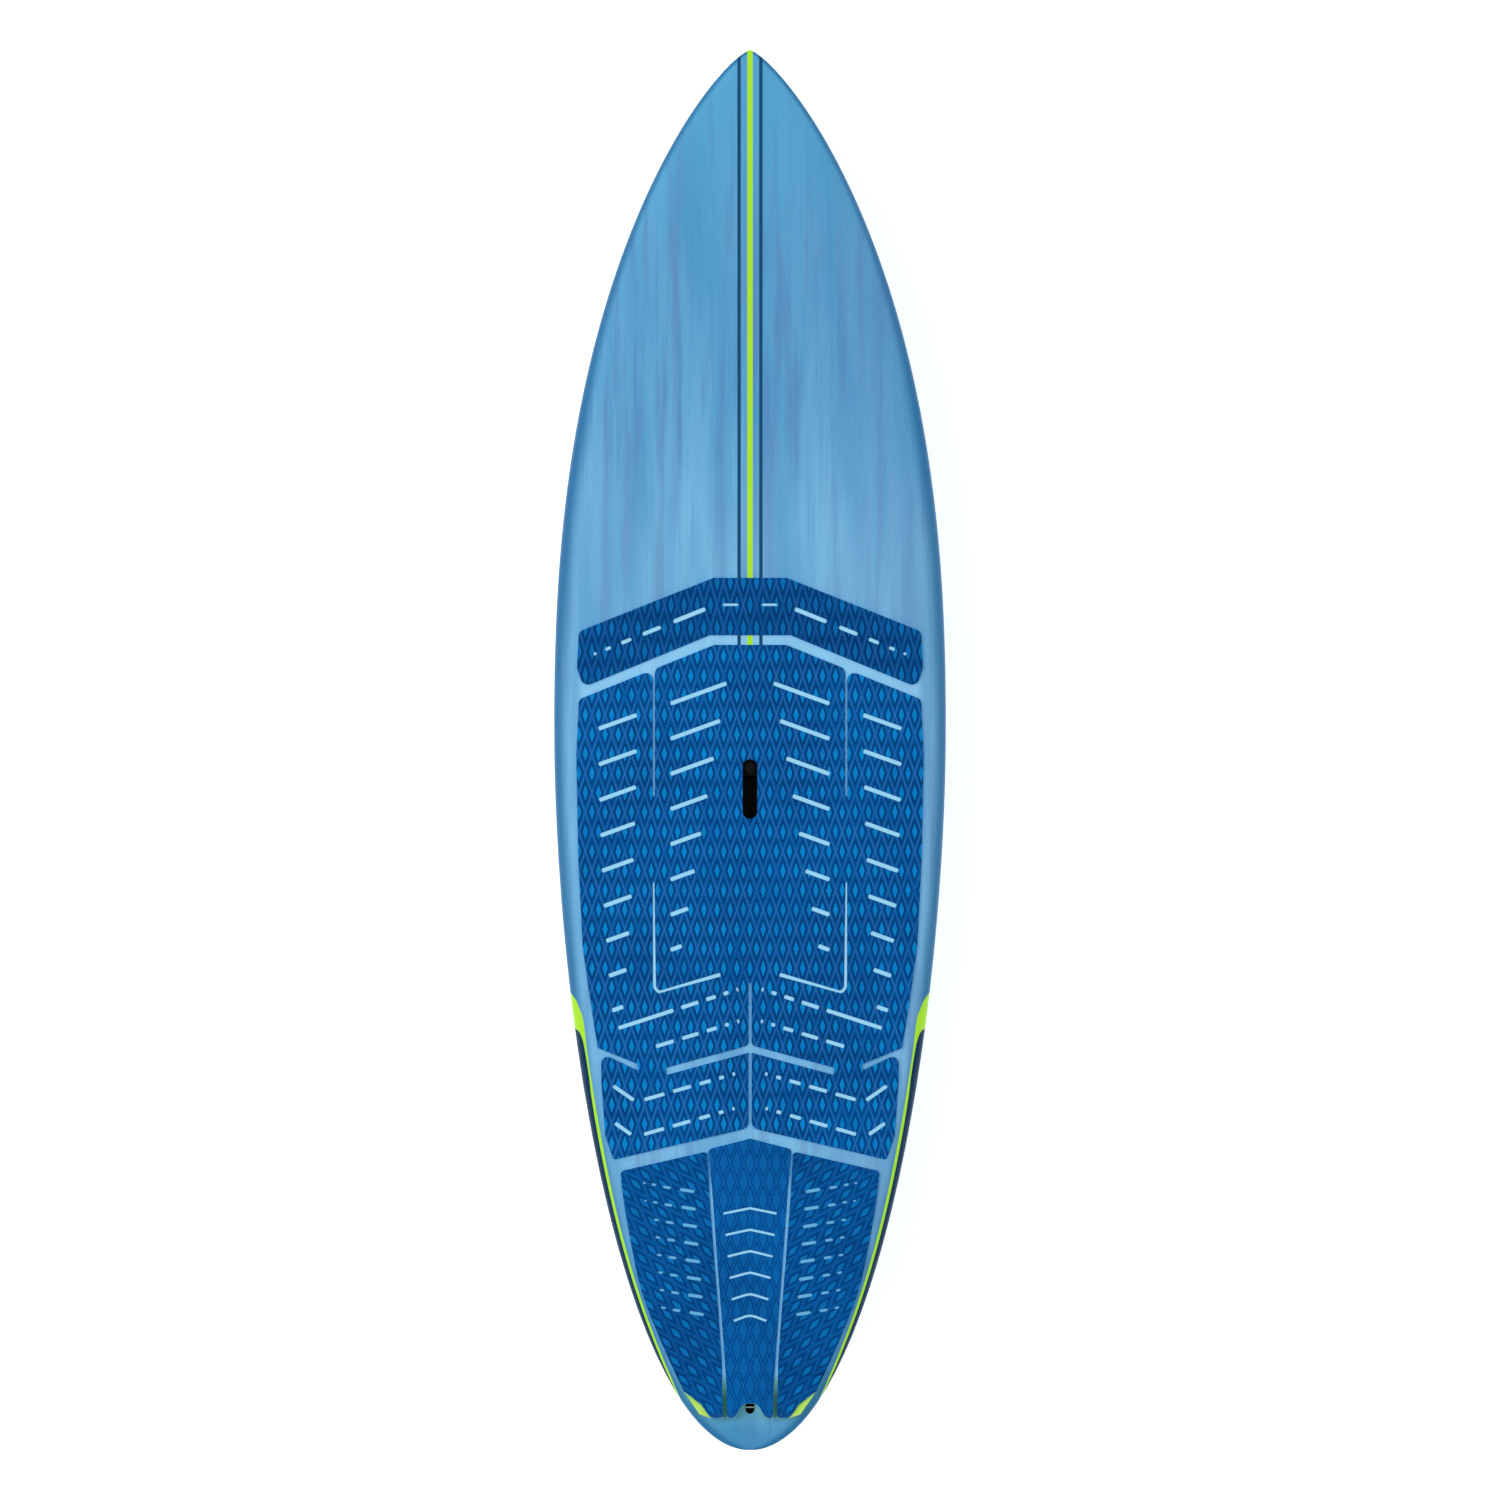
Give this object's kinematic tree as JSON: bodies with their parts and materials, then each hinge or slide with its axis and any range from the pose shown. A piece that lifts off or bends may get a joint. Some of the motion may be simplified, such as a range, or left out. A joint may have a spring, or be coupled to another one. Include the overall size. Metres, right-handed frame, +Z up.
{
  "type": "stand up paddleboard",
  "caption": "Short surf-shaped stand up paddleboard with blue deck pads, raised tail kick, recessed grab handle, leash plug and removable fins.",
  "frame": {"origin": "under the middle of the board, level with the tip of the centre fin", "axes": "+Y towards the nose, +X to the right of a rider facing the nose, +Z up through the deck"},
  "size_m": [0.611, 2.1832, 0.2867],
  "materials": {
    "deck_paint": "satin paint over glass and epoxy",
    "hull_paint": "satin paint over glass and epoxy",
    "core_foam": "expanded polystyrene",
    "insert_foam": "high density PVC foam",
    "stringer_wood": "paulownia",
    "eva_blue": "moulded EVA foam",
    "eva_lime": "EVA foam",
    "fitting_black": "moulded nylon",
    "seal_rubber": "nitrile",
    "membrane": "breathable membrane",
    "steel": "stainless",
    "brass": "brass",
    "fin_composite": "glass filled nylon",
    "box_white": "moulded fin box"
  },
  "bodies": {
    "board": {"deck_shell": "deck_paint", "bottom_shell": "hull_paint", "core_left": "core_foam", "core_right": "core_foam", "stringer": "stringer_wood", "handle_block": "insert_foam", "leash_block": "insert_foam", "centre_box_block": "insert_foam", "handle_cup": "fitting_black", "vent_body": "fitting_black", "vent_cap": "fitting_black", "vent_seal": "seal_rubber", "vent_membrane": "membrane", "leash_cup": "fitting_black", "leash_pin": "steel", "pad_front": "eva_blue", "pad_main": "eva_blue", "pad_tail_left": "eva_blue", "pad_tail_centre": "eva_blue", "pad_tail_right": "eva_blue", "kick_wedge_left": "eva_lime", "kick_wedge_centre": "eva_lime", "kick_wedge_right": "eva_lime", "centre_fin_box": "box_white", "side_fin_left": "fin_composite", "side_fin_right": "fin_composite", "side_fin_screw_left": "steel", "side_fin_screw_right": "steel", "side_block_front_right": "insert_foam", "side_box_front_right": "box_white", "side_block_front_left": "insert_foam", "side_box_front_left": "box_white", "side_block_rear_right": "insert_foam", "side_box_rear_right": "box_white", "side_block_rear_left": "insert_foam", "side_box_rear_left": "box_white"},
    "centre_fin": {"centre_fin": "fin_composite", "fin_cross_pin": "brass", "fin_nut_plate": "steel"},
    "fin_screw": {"fin_screw": "steel"}
  },
  "joints": [
    {"name": "centre_fin_slide", "type": "slide", "parent": "board", "child": "centre_fin", "axis": [0, 0.9969, -0.0792], "range_m": [-0.038, 0.038]},
    {"name": "fin_screw_turn", "type": "hinge", "parent": "centre_fin", "child": "fin_screw", "pos_m": [0, -0.7751, 0.14532], "axis": [0, -0.0792, -0.9969], "continuous": true}
  ]
}
